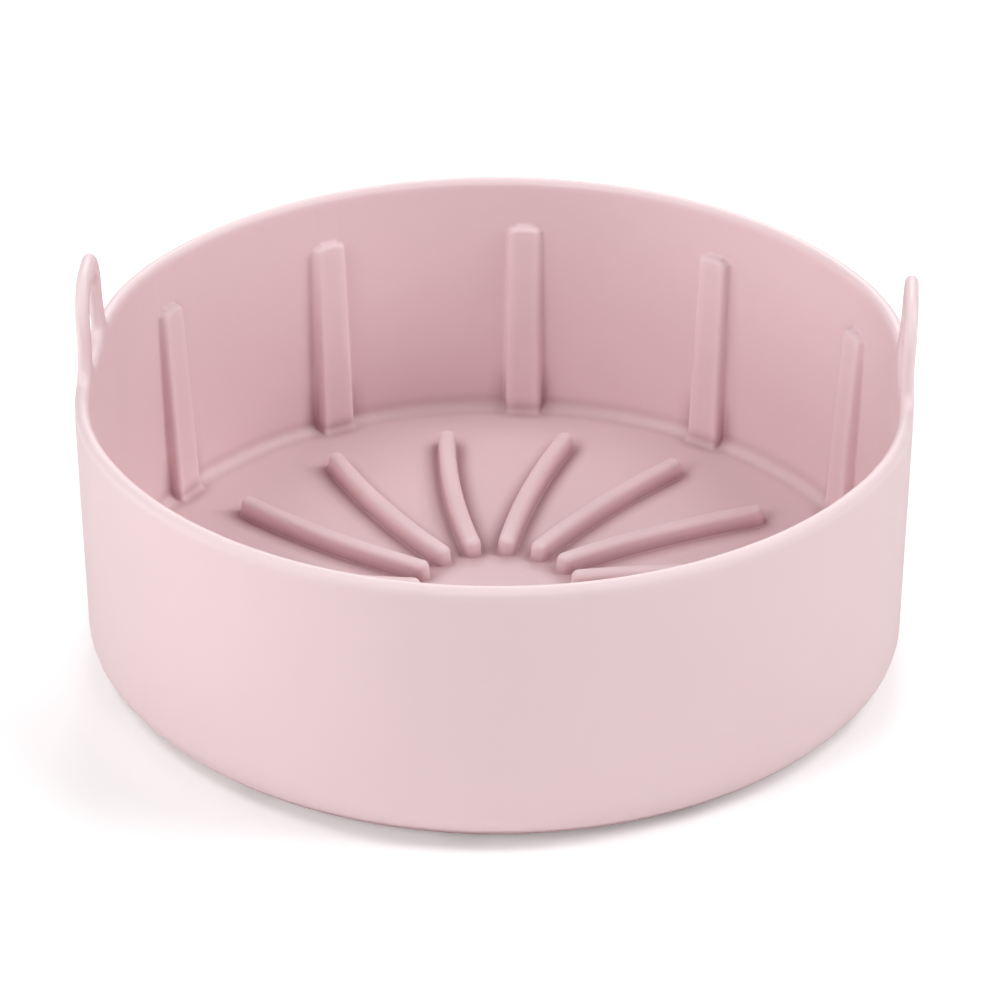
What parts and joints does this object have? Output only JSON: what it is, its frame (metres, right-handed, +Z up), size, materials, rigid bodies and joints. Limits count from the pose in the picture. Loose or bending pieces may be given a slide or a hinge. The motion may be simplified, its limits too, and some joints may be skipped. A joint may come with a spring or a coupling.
{
  "type": "air fryer basket liner",
  "caption": "Round silicone liner for an air fryer basket, with curved floor ribs, upright wall ribs and slotted lifting ears on the rim.",
  "frame": {"origin": "middle of the flat underside", "axes": "+Z up out of the open tub, X through the two ears, Y through the round front and back"},
  "size_m": [0.1848, 0.19, 0.087],
  "materials": {
    "liner": "satin pink moulded silicone"
  },
  "bodies": {
    "root": {"liner": "liner"}
  },
  "joints": []
}
